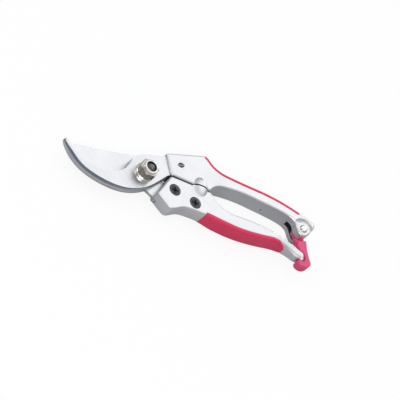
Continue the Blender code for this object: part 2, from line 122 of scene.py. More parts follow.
# Outlines: (x, y) lies on a smooth run, (x, y, cut) is a corner rounded off over cut
HOOK = [
    (38, 27.9, 2), (14, 20.3), (3.1, 16.8), (-1.1, 15.4), (-5.2, 13.4), (-8.6, 10.6), (-10.6, 7.8),
    (-11.7, 5), (-13.7, 0.4), (-17.2, -4.1), (-21.8, -7.5), (-29, -10.5), (-37.6, -11.7),
    (-47.8, -10.5), (-56.7, -6.4), (-62.4, -1), (-65, 1.8), (-66.7, 2.1), (-67, 0.7), (-63, -5),
    (-56.6, -11.6), (-49.3, -16.2), (-40, -19.2), (-30.5, -20.7), (-20.5, -20.8), (-10.5, -18.9),
    (-1.5, -15), (6, -9.8), (12.5, -3.4), (18.2, 2.9), (21.9, 6.9), (25, 9.2), (38, 13.9, 2),
]
BLADE = [
    (46.3, -5.9, 1.5), (17.3, 4.2), (12.6, 9), (7.5, 13.3), (1.5, 15.8), (-5, 15.8), (-18.4, 12.4),
    (-35.2, 8.7), (-57.4, 4.4), (-61.6, 3.4, 0.5), (-57.3, -4.4), (-51, -10), (-42.5, -14),
    (-33, -15.6), (-23.5, -14.7), (-14.5, -12.1), (-7, -10.2), (0.5, -9.3), (6.3, -9.5),
    (11.6, -12.1, 0.6), (12.7, -14.9, 0.4), (15.2, -14.9, 0.4), (17.5, -12.5, 1),
    (44.6, -13.7, 1.5),
]
UPPER_HANDLE = [
    (15.8, 22.9, 1.3), (21.4, 6.5, 1.3), (54.3, 6.5), (56.2, 8.9), (59, 11.5), (63.2, 13.5),
    (70.3, 14.7), (78.8, 15.5), (87.4, 15.6), (96, 15.1), (104.7, 14.6), (113.3, 13.9),
    (121.5, 12.6), (126.2, 10), (128.3, 5.4), (130.9, 1.8), (134.6, 1), (137.6, 2.5), (140.6, 6.8),
    (143.1, 11.6), (142.8, 14.7), (138.6, 16.7), (130.4, 19.1), (122.1, 21.1), (113.4, 22.7),
    (104.7, 23.7), (97, 24.2), (83.2, 24.5), (73.8, 24.9), (68.3, 25.2), (63.3, 25.8), (58.8, 27.1),
    (54.5, 29.6), (50.6, 33), (48, 33.9), (44.5, 32.8),
]
LOWER_HANDLE = [
    (21.3, 5.3, 1.3), (11.2, -13, 1.3), (23.4, -22.7, 3), (27.4, -20.6), (31.2, -18.2), (35, -16.6),
    (39, -15.9), (47.7, -15.4), (57, -15.7), (68.3, -16.5), (76, -16.9), (83.6, -16.8), (91, -16.2),
    (98.8, -15.1), (105, -14), (111, -12.9), (117, -12.4), (123, -12.9), (128, -14.1), (133, -15.7),
    (136, -15.9), (138, -16.3), (139.2, -15.1), (138.8, -12.7), (136.9, -10.5), (133.5, -9),
    (128.5, -7.4), (120.3, -6.2), (111.4, -5.4), (102.8, -4.6), (95.9, -4.2), (88, -4.3),
    (81.4, -4.7), (74.6, -4.9), (68.5, -4), (64, -2.3), (60.6, 0), (57.8, 3.1), (54.4, 5.3, 0.8),
]
CATCH = [
    (132.5, -1, 1), (133, -5), (134.8, -7.9), (137.6, -9.6), (139.5, -12), (139.8, -14.8),
    (138.9, -16.8), (134.1, -17, 1), (134.3, -19.3), (136.4, -21.1), (139.9, -21.5), (143.3, -19.8),
    (145, -16.9), (142.9, -11.6), (140.9, -5.4), (140.2, -1), (139.7, 1.2, 1),
]

# The soft pads: where they lie along X, how deep and how proud they are, how deep the lip still is
# where it ends, and half the height of the zone that holds them
UPPER_GRIP_SPAN = (47.4, 130.4)
LOWER_GRIP_SPAN = (52.2, 122.4)
GRIP_THICK = 2.5
GRIP_PROUD = 0.2
LIP_LEFT = 0.9
GRIP_HALF = 8.4
# Radii of a pad's two ends on its side, then of its lip's start and end, and how much sooner the
# lip ends than the side
UPPER_ENDS = (0.8, 1.2, 0.6, 1.6, 0.0)
LOWER_ENDS = (1.5, 7.8, 0.6, 9.0, 4.2)

# Where the handles are cut across before they are thinned along X
STATIONS = [*range(46, 70, 2), *range(102, 138, 2)]


# Shapes

def unit(vector):
    """A vector's direction."""
    return vector / vector.length


def outline(points, spacing):
    """A closed outline through points, smooth except at the rounded corners."""
    places = [Vector(point[:2]) for point in points]
    cuts = [point[2] if len(point) == 3 else 0.0 for point in points]
    count = len(points)
    result = []
    for index in range(count):
        following = (index + 1) % count
        start, end = places[index], places[following]
        chord = unit(end - start)
        leave = chord if cuts[index] else unit(end - places[index - 1])
        arrive = chord if cuts[following] else unit(places[(index + 2) % count] - start)
        if cuts[index]:
            before = start - unit(start - places[index - 1]) * cuts[index]
            after = start + chord * cuts[index]
            for step in range(6):
                t = step / 6
                result.append((1 - t) ** 2 * before + 2 * t * (1 - t) * start + t * t * after)
            start = after
        end = end - chord * cuts[following]
        reach = (end - start).length
        steps = max(1, round(reach / spacing))
        # A cubic that leaves the start and reaches the end in the given directions
        for step in range(steps):
            t = step / steps
            h1 = 2 * t**3 - 3 * t**2 + 1
            h2 = t**3 - 2 * t**2 + t
            h3 = 3 * t**2 - 2 * t**3
            h4 = t**3 - t**2
            result.append(h1 * start + h2 * reach * leave + h3 * end + h4 * reach * arrive)
    tidy = []
    for place in result:
        if not tidy or (place - tidy[-1]).length > 0.04:
            tidy.append(place)
    if (tidy[0] - tidy[-1]).length < 0.04:
        tidy.pop()
    return tidy


def inward(points):
    """The unit directions into a closed outline at its points."""
    flat = np.array(points)
    area = np.sum(flat[:, 0] * np.roll(flat[:, 1], -1) - flat[:, 1] * np.roll(flat[:, 0], -1))
    along = np.roll(flat, -1, axis=0) - flat
    along /= np.linalg.norm(along, axis=1)[:, None]
    mean = along + np.roll(along, 1, axis=0)
    mean /= np.linalg.norm(mean, axis=1)[:, None]
    side = 1 if area > 0 else -1
    return np.stack([-mean[:, 1], mean[:, 0]], axis=1) * side


def distance(places, points):
    """How far each place lies from a closed outline."""
    start = np.array(points)
    edge = np.roll(start, -1, axis=0) - start
    offset = places[:, None, :] - start[None, :, :]
    share = np.clip((offset * edge).sum(2) / (edge * edge).sum(1), 0, 1)
    return np.linalg.norm(offset - share[:, :, None] * edge, axis=2).min(1)


def room(points, most):
    """How far each point can move inwards before the outline would fold."""
    flat = np.array(points)
    into = inward(points)
    limit = np.zeros(len(flat))
    free = np.ones(len(flat), bool)
    for amount in np.linspace(0, most, 25)[1:]:
        free &= distance(flat + into * amount, points) > amount * 0.96
        limit[free] = amount
    near = np.minimum(limit, np.minimum(np.roll(limit, 1), np.roll(limit, -1)))
    return (near + np.roll(near, 1) + np.roll(near, -1)) / 3


def skin_between(shape, rings):
    """Joins each ring of vertices to the next one by quads."""
    for first, second in zip(rings, rings[1:]):
        for index in range(len(first)):
            after = (index + 1) % len(first)
            shape.faces.new((first[index], first[after], second[after], second[index]))


def loft(points, profile, weight=None):
    """A closed solid with an outline.

    Its rings are moved in by a profile of (inset, z), bottom to top, and weight(place) gives how
    much of the inset applies at each place, all of it without one.
    """
    flat = np.array(points)
    into = inward(points)
    limit = room(points, max(inset for inset, z in profile) + 0.01)
    share = np.ones(len(flat)) if weight is None else np.array([weight(place) for place in points])
    shape = bmesh.new()
    rings = []
    for inset, z in profile:
        ring = flat + into * np.clip(inset * share, -9, limit)[:, None]
        rings.append([shape.verts.new((x, y, z)) for x, y in ring])
    skin_between(shape, rings)
    shape.faces.new(rings[0])
    shape.faces.new(rings[-1])
    bmesh.ops.recalc_face_normals(shape, faces=shape.faces)
    return shape


def rounded(low, high, low_edge, high_edge, steps=6):
    """A profile with quarter-round edges below and above."""
    profile = []
    for index in range(steps + 1):
        angle = math.pi / 2 * index / steps
        inset, rise = low_edge * (1 - math.sin(angle)), low_edge * (1 - math.cos(angle))
        profile.append((inset, low + rise))
    for index in range(steps + 1):
        angle = math.pi / 2 * (1 - index / steps)
        inset, drop = high_edge * (1 - math.sin(angle)), high_edge * (1 - math.cos(angle))
        profile.append((inset, high - drop))
    return profile


def warp(shape, stations, scales):
    """Scales the heights above and below zero by amounts that change along X."""
    for x in stations:
        geometry = list(shape.verts) + list(shape.edges) + list(shape.faces)
        bmesh.ops.bisect_plane(shape, geom=geometry, plane_co=(x, 0, 0), plane_no=(1, 0, 0))
    for vert in shape.verts:
        above, below = scales(vert.co.x)
        vert.co.z *= above if vert.co.z > 0 else below
    return shape


def ramp(value, start, end):
    """0 before start, 1 after end, and a smooth step between them."""
    t = min(max((value - start) / (end - start), 0), 1)
    return t * t * (3 - 2 * t)


def added(name, data):
    """A new object in the scene."""
    item = bpy.data.objects.new(name, data)
    bpy.context.scene.collection.objects.link(item)
    return item


def from_bmesh(shape):
    """An object from a bmesh, which is freed."""
    data = bpy.data.meshes.new("work")
    shape.to_mesh(data)
    shape.free()
    return added("work", data)


def made(shape):
    """An object from a bmesh, its larger faces cut into triangles."""
    bmesh.ops.triangulate(shape, faces=[face for face in shape.faces if len(face.verts) > 4])
    return from_bmesh(shape)


def settle(item):
    """Applies an object's modifiers to its mesh."""
    graph = bpy.context.evaluated_depsgraph_get()
    data = bpy.data.meshes.new_from_object(item.evaluated_get(graph))
    item.modifiers.clear()
    item.data = data


def combine(item, other, operation):
    """Joins, cuts or crosses an object with another one, which is used up."""
    change = item.modifiers.new("combine", "BOOLEAN")
    change.operation = operation
    change.object = other
    change.solver = "MANIFOLD"
    settle(item)
    bpy.data.objects.remove(other)


def cut(item, other):
    combine(item, other, "DIFFERENCE")


def merge(item, other):
    """Puts another closed shell in with an object, to be fused by remesh()."""
    shape = bmesh.new()
    shape.from_mesh(item.data)
    shape.from_mesh(other.data)
    shape.to_mesh(item.data)
    shape.free()
    bpy.data.objects.remove(other)


def remesh(item, voxel, smoothing):
    """Fuses what overlaps into one even skin and softens its edges."""
    skin = item.modifiers.new("skin", "REMESH")
    skin.mode = "VOXEL"
    skin.voxel_size = voxel
    skin.use_smooth_shade = True
    settle(item)
    soften = item.modifiers.new("soften", "SMOOTH")
    soften.factor = 0.5
    soften.iterations = smoothing
    settle(item)


def turned(profile, at=(0, 0, 0), segments=64):
    """A turned solid from (radius, height) points, with both ends on the axis."""
    shape = bmesh.new()
    top, *sides, bottom = profile
    peak = shape.verts.new((0, 0, top[1]))
    foot = shape.verts.new((0, 0, bottom[1]))
    rings = []
    for radius, z in sides:
        ring = []
        for index in range(segments):
            angle = 2 * math.pi * (index + 0.5) / segments
            ring.append(shape.verts.new((radius * math.cos(angle), radius * math.sin(angle), z)))
        rings.append(ring)
    skin_between(shape, rings)
    for index in range(segments):
        after = (index + 1) % segments
        shape.faces.new((peak, rings[0][index], rings[0][after]))
        shape.faces.new((foot, rings[-1][index], rings[-1][after]))
    bmesh.ops.recalc_face_normals(shape, faces=shape.faces)
    item = made(shape)
    item.data.transform(Matrix.Translation(at))
    return item


def cylinder(radius, low, high, at, segments=64):
    return turned([(0, high), (radius, high), (radius, low), (0, low)], (at[0], at[1], 0), segments)


def box(low, high):
    shape = bmesh.new()
    low, high = Vector(low), Vector(high)
    matrix = Matrix.Translation((low + high) / 2) @ Matrix.Diagonal((*(high - low), 1))
    bmesh.ops.create_cube(shape, size=1, matrix=matrix)
    return made(shape)


def prism(points, low, high):
    """An outline's solid, from one height to another."""
    return made(loft(points, [(0, low), (0, high)]))


def grown(points, amount):
    """An outline moved outwards."""
    into = inward(points)
    return [Vector(place) for place in np.array(points) - into * amount]


def strip(points, span, side, depth, beyond, start_round, end_round, sooner):
    """The band along an outline's outer side, to a depth inside it that fades out at its ends."""
    # The outer side is what lies further out than this
    limit = 17.5 if side > 0 else 11
    outer = [place for place in points if span[0] < place.x < span[1] and place.y * side > limit]
    outer.sort(key=lambda place: place.x)
    inner = []
    outside = []
    for index, place in enumerate(outer):
        before = outer[max(index - 4, 0)]
        after = outer[min(index + 4, len(outer) - 1)]
        along = unit(after - before)
        normal = Vector((-along.y, along.x)) * side
        start_share = max(1 - (place.x - span[0]) / start_round, 0)
        end_share = min(max(1 - (span[1] - sooner - place.x) / end_round, 0), 1)
        lost = min(start_round, depth) * (1 - math.sqrt(1 - start_share**2))
        lost += (depth - LIP_LEFT) * (1 - math.sqrt(1 - end_share**2))
        inner.append(place - normal * (depth - lost))
        outside.append(place + normal * beyond)
    return outside + inner[::-1]


def rounded_bar(span, half, near, far, stations, scales):
    """A bar along Y with a round-cornered section in X and Z, its heights scaled along X."""
    section = []
    steps = 12
    for cx, cz, radius, start in (
        (span[1] - far, half - far, far, 0), (span[0] + near, half - near, near, 90),
        (span[0] + near, near - half, near, 180), (span[1] - far, far - half, far, 270),
    ):
        for index in range(steps + 1):
            angle = math.radians(start + 90 * index / steps)
            section.append(Vector((cx + radius * math.cos(angle), cz + radius * math.sin(angle))))
    shape = loft(section, [(0, -60), (0, 60)])
    bmesh.ops.transform(shape, verts=shape.verts, matrix=Matrix.Rotation(math.radians(90), 4, "X"))
    return made(warp(shape, stations, scales))


# Putting pieces on the frame

def place(item, name, body, slot, look, nodes=()):
    """Names a finished piece, puts it on its body and gives it its material."""
    item.name = name
    item.data.name = name
    item.data.transform(Matrix.Translation(PIVOT) @ Matrix.Scale(MM, 4))
    item.data.materials.clear()
    item.data.materials.append(look)
    item.data.shade_smooth()
    if body:
        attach(item, body)
    if nodes:
        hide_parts(*nodes)


def second_look(item, look, chosen):
    """Gives another material to the faces that chosen(centre in mm, direction) picks."""
    item.data.materials.append(look)
    for face in item.data.polygons:
        if chosen((face.center - PIVOT) / MM, face.normal):
            face.material_index = len(item.data.materials) - 1


def is_parting(at, facing):
    """Whether a face lies in the gap between the two blocks and looks across it."""
    return 20 < at.x < 56 and abs(at.y - PARTING_Y) < 0.75 and abs(facing.y) > 0.93


def crisp(item, angle):
    """Shades the edges sharp that turn by more than an angle in degrees."""
    item.data.set_sharp_from_angle(angle=math.radians(angle))


# Materials

def shader(name, colour, roughness, metallic=0.0, **sockets):
    """A Principled material, with its node tree and its shader."""
    look = bpy.data.materials.new(name)
    look.use_nodes = True
    principled = look.node_tree.nodes["Principled BSDF"]
    principled.inputs["Base Color"].default_value = (*colour, 1)
    principled.inputs["Roughness"].default_value = roughness
    principled.inputs["Metallic"].default_value = metallic
    for socket, value in sockets.items():
        principled.inputs[socket.replace("_", " ")].default_value = value
    return look, look.node_tree, principled


def noise(tree, scale, detail=3.0, stretch=(1, 1, 1), turn=0.0):
    """A noise over the piece's own place in metres, stretched along turned axes."""
    where = tree.nodes.new("ShaderNodeTexCoord")
    mapping = tree.nodes.new("ShaderNodeMapping")
    mapping.inputs["Rotation"].default_value = (0, 0, math.radians(turn))
    stretched = tree.nodes.new("ShaderNodeMapping")
    stretched.inputs["Scale"].default_value = stretch
    texture = tree.nodes.new("ShaderNodeTexNoise")
    texture.inputs["Scale"].default_value = scale
    texture.inputs["Detail"].default_value = detail
    tree.links.new(where.outputs["Object"], mapping.inputs["Vector"])
    tree.links.new(mapping.outputs["Vector"], stretched.inputs["Vector"])
    tree.links.new(stretched.outputs["Vector"], texture.inputs["Vector"])
    return texture.outputs["Fac"]


def spread(tree, principled, value, low, high):
    """Varies the roughness from low to high, over a noise's middle range."""
    change = tree.nodes.new("ShaderNodeMapRange")
    change.inputs["From Min"].default_value = 0.3
    change.inputs["From Max"].default_value = 0.7
    change.inputs["To Min"].default_value = low
    change.inputs["To Max"].default_value = high
    tree.links.new(value, change.inputs["Value"])
    tree.links.new(change.outputs["Result"], principled.inputs["Roughness"])


def tint(tree, principled, value, dark, light):
    """Colours a material between dark and light, over a noise's middle range."""
    colours = tree.nodes.new("ShaderNodeValToRGB")
    colours.color_ramp.elements[0].position = 0.3
    colours.color_ramp.elements[1].position = 0.7
    colours.color_ramp.elements[0].color = (*dark, 1)
    colours.color_ramp.elements[1].color = (*light, 1)
    tree.links.new(value, colours.inputs["Fac"])
    tree.links.new(colours.outputs["Color"], principled.inputs["Base Color"])


def bump(tree, principled, heights, distance_m):
    """Adds bumps from a list of (height, strength)."""
    last = None
    for height, strength in heights:
        node = tree.nodes.new("ShaderNodeBump")
        node.inputs["Strength"].default_value = strength
        node.inputs["Distance"].default_value = distance_m
        tree.links.new(height, node.inputs["Height"])
        if last:
            tree.links.new(last, node.inputs["Normal"])
        last = node.outputs["Normal"]
    tree.links.new(last, principled.inputs["Normal"])


def cast_look():
    """Cast aluminium, tumbled to a soft shine."""
    look, tree, principled = shader("cast_aluminium", (0.86, 0.87, 0.88), 0.36, 0.92)
    fine = noise(tree, 1900, 4)
    broad = noise(tree, 60, 3)
    tint(tree, principled, broad, (0.83, 0.84, 0.855), (0.89, 0.895, 0.90))
    spread(tree, principled, fine, 0.33, 0.43)
    bump(tree, principled, [(fine, 0.12), (broad, 0.05)], 0.0002)
    return look


def slot_shade_look():
    """The inside of the catch's slot, coloured near black: a painted shade for the dark inside of
    the slot.
    """
    look, tree, principled = shader("slot_painted_shade", (0.05, 0.05, 0.055), 0.6, 0.3)
    cloud = noise(tree, 900, 3)
    tint(tree, principled, cloud, (0.035, 0.035, 0.04), (0.065, 0.065, 0.07))
    bump(tree, principled, [(cloud, 0.2)], 0.0002)
    return look


def parting_shade_look():
    """The faces between the two blocks, rougher and coloured dark grey: a painted shade for the
    dark gap between them.
    """
    look, tree, principled = shader("parting_painted_shade", (0.26, 0.265, 0.28), 0.5, 0.8)
    cloud = noise(tree, 900, 4)
    tint(tree, principled, cloud, (0.2, 0.205, 0.215), (0.3, 0.305, 0.32))
    spread(tree, principled, cloud, 0.42, 0.58)
    bump(tree, principled, [(cloud, 0.2)], 0.0002)
    return look


def ground_look(name, colour=(0.80, 0.81, 0.83), roughness=(0.26, 0.40)):
    """Steel with the fine lines of a grinding belt, at an angle in the plane of the blades."""
    look, tree, principled = shader(name, colour, 0.3, 1.0)
    lines = noise(tree, 1, 3, (40, 3200, 40), GRIND_ANGLE)
    broad_lines = noise(tree, 1, 3, (20, 1100, 20), GRIND_ANGLE)
    cloud = noise(tree, 45, 3)
    dark = tuple(channel * 0.94 for channel in colour)
    light = tuple(min(channel * 1.03, 1) for channel in colour)
    tint(tree, principled, broad_lines, dark, light)
    spread(tree, principled, cloud, *roughness)
    bump(tree, principled, [(lines, 0.38), (broad_lines, 0.14)], 0.0001)
    return look


def rim_reflection_look():
    """The ground rim of the hook, coloured darker and bluer than its faces as a painted dark
    reflection, and darker still towards the tip.
    """
    look = ground_look("rim_steel_painted_reflection", (0.4, 0.435, 0.49), (0.24, 0.34))
    tree = look.node_tree
    where = tree.nodes.new("ShaderNodeTexCoord")
    split = tree.nodes.new("ShaderNodeSeparateXYZ")
    along = tree.nodes.new("ShaderNodeMapRange")
    along.inputs["From Min"].default_value = PIVOT.x - 38 * MM
    along.inputs["From Max"].default_value = PIVOT.x - 4 * MM
    colours = tree.nodes.new("ShaderNodeValToRGB")
    colours.color_ramp.elements[0].color = (0.33, 0.365, 0.42, 1)
    colours.color_ramp.elements[1].color = (0.62, 0.655, 0.70, 1)
    tree.links.new(where.outputs["Object"], split.inputs[0])
    tree.links.new(split.outputs["X"], along.inputs["Value"])
    tree.links.new(along.outputs["Result"], colours.inputs["Fac"])
    tree.links.new(colours.outputs["Color"], tree.nodes["Principled BSDF"].inputs["Base Color"])
    return look


def plated_look(name, dark, light):
    """Bright nickel plate, in a colour between two."""
    look, tree, principled = shader(name, light, 0.14, 1.0)
    cloud = noise(tree, 400, 3)
    tint(tree, principled, cloud, dark, light)
    spread(tree, principled, cloud, 0.12, 0.24)
    bump(tree, principled, [(noise(tree, 1500, 3), 0.05)], 0.0001)
    return look


def dark_look():
    """Black oxide on steel."""
    look, tree, principled = shader("black_steel", (0.03, 0.033, 0.038), 0.3, 0.4)
    cloud = noise(tree, 900, 4)
    tint(tree, principled, cloud, (0.028, 0.031, 0.036), (0.06, 0.065, 0.073))
    spread(tree, principled, cloud, 0.26, 0.44)
    bump(tree, principled, [(cloud, 0.1)], 0.0001)
    return look


def bolt_look():
    """Polished black, which keeps a clear highlight."""
    look, tree, principled = shader(
        "black_polish", (0.018, 0.022, 0.03), 0.25,
        Coat_Weight=1.0, Coat_Roughness=0.12, Coat_IOR=1.8,
    )
    cloud = noise(tree, 900, 4)
    tint(tree, principled, cloud, (0.014, 0.018, 0.026), (0.026, 0.031, 0.04))
    spread(tree, principled, cloud, 0.2, 0.32)
    bump(tree, principled, [(cloud, 0.06)], 0.0001)
    return look


def head_look():
    """The paler ring round the head of a screw."""
    look, tree, principled = shader("screw_head", (0.15, 0.155, 0.165), 0.38, 0.6)
    cloud = noise(tree, 1100, 4)
    tint(tree, principled, cloud, (0.13, 0.135, 0.145), (0.19, 0.195, 0.205))
    spread(tree, principled, cloud, 0.32, 0.5)
    bump(tree, principled, [(cloud, 0.1)], 0.0001)
    return look


def nut_flats_reflection_look():
    """Nickel plate coloured darker and streaked along the flats of the nut: a painted dark
    reflection.
    """
    look, tree, principled = shader("nut_flats", (0.34, 0.32, 0.29), 0.16, 1.0)
    streaks = noise(tree, 1, 3, (700, 700, 90))
    tint(tree, principled, streaks, (0.2, 0.175, 0.145), (0.42, 0.41, 0.385))
    spread(tree, principled, streaks, 0.1, 0.24)
    bump(tree, principled, [(noise(tree, 1500, 3), 0.05)], 0.0001)
    return look


def spring_look():
    look, tree, principled = shader("spring_steel", (0.5, 0.51, 0.53), 0.28, 1.0)
    cloud = noise(tree, 700, 3)
    tint(tree, principled, cloud, (0.42, 0.43, 0.45), (0.56, 0.57, 0.59))
    spread(tree, principled, cloud, 0.2, 0.36)
    return look


def rubber_look():
    """Soft rubber with fine pores."""
    look, tree, principled = shader(
        "grip_rubber", (0.9, 0.04, 0.13), 0.42, Sheen_Weight=0.12, Specular_IOR_Level=0.42
    )
    pores = noise(tree, 2600, 4)
    cloud = noise(tree, 70, 3)
    tint(tree, principled, cloud, (0.87, 0.034, 0.12), (0.93, 0.044, 0.145))
    spread(tree, principled, pores, 0.36, 0.5)
    bump(tree, principled, [(pores, 0.16), (cloud, 0.05)], 0.0001)
    return look


def plastic_look():
    """Moulded plastic, smoother than the pads."""
    look, tree, principled = shader("catch_plastic", (0.88, 0.085, 0.24), 0.34)
    cloud = noise(tree, 110, 3)
    fine = noise(tree, 2400, 3)
    tint(tree, principled, cloud, (0.85, 0.08, 0.225), (0.91, 0.095, 0.26))
    spread(tree, principled, fine, 0.28, 0.4)
    bump(tree, principled, [(fine, 0.06)], 0.0001)
    return look


def nylon_look():
    look, tree, principled = shader("nylon", (0.03, 0.03, 0.033), 0.4)
    cloud = noise(tree, 600, 3)
    tint(tree, principled, cloud, (0.022, 0.022, 0.025), (0.04, 0.04, 0.045))
    return look


def print_look():
    look, tree, principled = shader("print_ink", (0.05, 0.05, 0.055), 0.5)
    cloud = noise(tree, 900, 3)
    tint(tree, principled, cloud, (0.04, 0.04, 0.045), (0.08, 0.08, 0.085))
    return look


# Pieces

def block_scale(x):
    """How far the back of a handle reaches, as a share of its full depth: less at the block."""
    least = BLOCK_BACK_Z / BACK_Z
    return least + (1 - least) * ramp(x, 48, 66)


def dome_half(side):
    """The half of the spring's dome that belongs to one handle."""
    shape = bmesh.new()
    bmesh.ops.create_uvsphere(shape, u_segments=64, v_segments=40, radius=1)
    item = made(shape)
    item.data.transform(Matrix.Translation(DOME_AT) @ Matrix.Diagonal((*DOME_RADII, 1)))
    wall = PARTING_Y + side * PARTING_GAP / 2
    low, high = sorted((wall, wall + side * 20))
    combine(item, box((30, low, -20), (62, high, 20)), "INTERSECT")
    return item


def chamber():
    """The room for the spring, a drum along Y."""
    item = cylinder(CHAMBER_R, -CHAMBER_HALF, CHAMBER_HALF, (0, 0))
    item.data.transform(Matrix.Translation(SPRING_AT) @ Matrix.Rotation(math.radians(90), 4, "X"))
    return item


def seat(points, heights):
    """The room in a block for a blade's tang, with a little clearance."""
    low, high = heights
    return prism(grown(outline(points, 1.2), SEAT_GAP), low - SEAT_GAP, high + SEAT_GAP)


def countersink(at, face, deep):
    """The hole for a countersunk screw, from a face down to the height deep."""
    side = 1 if face > 0 else -1
    above = face + side * 2
    profile = [
        (0, above), (4.75, above), (4.75, face - side * 0.3), (2.7, face - side * 2.4), (2.7, deep),
        (0, deep),
    ]
    return turned(profile, (*at, 0))


def upper_handle():
    """The cast upper handle: its block, its forked tail, and its half of the dome."""
    points = outline(UPPER_HANDLE, 0.9)
    shape = loft(points, rounded(BACK_Z, FACE_Z, UPPER_BACK_EDGE, FACE_EDGE))
    item = made(warp(shape, STATIONS, upper_scales))
    cut(item, grip_zone(points, UPPER_GRIP_SPAN, 1, GRIP_THICK, UPPER_ENDS, upper_scales))
    cut(item, boss_pocket())
    remesh(item, CAST_VOXEL, 8)
    # The slot for the catch, which reaches higher where it starts
    cut(item, box((SLOT_X, -10, -SLOT_HALF), (160, 15.2, SLOT_HALF)))
    cut(item, box((SLOT_X, 0, -SLOT_HALF), (128, SLOT_TOP, SLOT_HALF)))
    combine(item, dome_half(1), "UNION")
    cut(item, chamber())
    cut(item, seat(HOOK, HOOK_Z))
    for at in HOOK_SCREWS.values():
        cut(item, countersink(at, BLOCK_BACK_Z, 1.5))
    cut(item, cylinder(PIN_BORE_R, -12, 12, PIN))
    mark_of_ejector = ring_solid(0.7, 1.5, 12.9, 16.0)
    mark_of_ejector.data.transform(Matrix.Translation(EJECTOR_AT))
    cut(item, mark_of_ejector)
    place(item, "upper_handle_skin", "fixed_side", "cast_aluminium", CAST, ["upper_handle"])
    # The slot's inside faces get the near-black painted shade.
    second_look(item, SLOT_SHADE, lambda at, facing: (
        at.x > SLOT_X - 0.01 and at.y < SLOT_TOP + 0.01 and abs(at.z) < SLOT_HALF + 0.01
    ))
    # The faces in the gap between the blocks get the dark grey painted shade.
    second_look(item, PARTING_SHADE, is_parting)
    crisp(item, 50)


def ring_solid(inner, outer, low, high):
    """A tube along Y."""
    item = cylinder(outer, low, high, (0, 0), 32)
    cut(item, cylinder(inner, low - 1, high + 1, (0, 0), 32))
    item.data.transform(Matrix.Rotation(math.radians(-90), 4, "X"))
    return item


def boss_pocket():
    """The crescent-shaped pocket between the pin's boss and the rim of the handle."""
    groove = turned([(0, 12), (8.3, 12), (8.3, FACE_Z - 2.8), (0, FACE_Z - 2.8)], (*PIN, 0))
    cut(groove, cylinder(5.6, 0, 20, PIN))
    corners = ((132.2, 8), (142, 3.5), (143, 12), (139, 18), (126, 17), (126, 12))
    zone = [Vector(corner) for corner in corners]
    combine(groove, prism(zone, 0, 20), "INTERSECT")
    return groove


def lower_handle():
    """The cast lower handle: its block, its thin tail, and its half of the dome."""
    points = outline(LOWER_HANDLE, 0.9)
    shape = loft(points, rounded(BACK_Z, FACE_Z, LOWER_BACK_EDGE, FACE_EDGE))
    item = made(warp(shape, STATIONS, lower_scales))
    cut(item, grip_zone(points, LOWER_GRIP_SPAN, -1, GRIP_THICK, LOWER_ENDS, lower_scales))
    remesh(item, CAST_VOXEL, 8)
    ease_tail(item, points)
    combine(item, dome_half(-1), "UNION")
    cut(item, chamber())
    cut(item, seat(BLADE, BLADE_Z))
    # Clears the slot around the corner of the tang
    cut(item, box((9, -20, BLADE_Z[0] - SEAT_GAP), (14.6, -13, BLADE_Z[1] + SEAT_GAP)))
    for at in BLADE_SCREWS.values():
        cut(item, countersink(at, FACE_Z, -7))
    place(item, "lower_handle_skin", "blade_side", "cast_aluminium", CAST, ["lower_handle"])
    # The faces in the gap between the blocks get the dark grey painted shade.
    second_look(item, PARTING_SHADE, is_parting)
    crisp(item, 50)


def ease_tail(item, points):
    """Rounds the front of the tail more and more towards its outer side."""
    start, reach, fade = 108, 3.6, 2.5
    verts = [vert for vert in item.data.vertices if vert.co.x > start and vert.co.z > 0]
    nearest = distance(np.array([tuple(vert.co.xy) for vert in verts]), points)
    for vert, away in zip(verts, nearest):
        middle = -9.0 - 3.1 * ramp(vert.co.x, 116, 136)
        soft = max(1 - away / reach, 0) ** 2 * ramp(middle - vert.co.y, 0, fade)
        vert.co.z *= 1 - 0.3 * soft * ramp(vert.co.x, start, 124)


def upper_scales(x):
    """How far the upper handle reaches forwards and back, as shares of its full depth."""
    return 1, block_scale(x)


def lower_scales(x):
    """How far the lower handle reaches forwards and back, as shares: it thins towards its tail."""
    return 1 - 0.45 * ramp(x, 108, 134), min(block_scale(x), 1 - 0.36 * ramp(x, 104, 134))


def grip_zone(points, span, side, depth, ends, scales):
    """The room of a soft pad, or of its seat: a strip of the outer side with rounded ends."""
    zone = prism(strip(points, span, side, depth, 4, *ends[2:]), -12, 12)
    combine(zone, rounded_bar(span, GRIP_HALF, *ends[:2], STATIONS, scales), "INTERSECT")
    return zone


def grip(name, outline_points, span, side, scales, body, back_edge, ends):
    """A soft pad: the handle's own rounded form, a little prouder, along its outer side."""
    points = outline(outline_points, 0.6)
    shape = loft(grown(points, GRIP_PROUD), rounded(BACK_Z - 0.05, FACE_Z + 0.15, back_edge, 2.0))
    item = made(warp(shape, STATIONS, scales))
    inside = (span[0] + 0.1, span[1] - 0.1)
    combine(item, grip_zone(points, inside, side, GRIP_THICK - 0.1, ends, scales), "INTERSECT")
    remesh(item, SOFT_VOXEL, 8)
    place(item, name + "_skin", body, "grip_rubber", RUBBER, [name])


def tip_share(x):
    """How thick the hook still is towards its rounded tip, as a share."""
    start, length, least = 58, 9.3, 0.3
    return least + (1 - least) * math.sqrt(1 - min(max((-x - start) / length, 0), 1) ** 2)


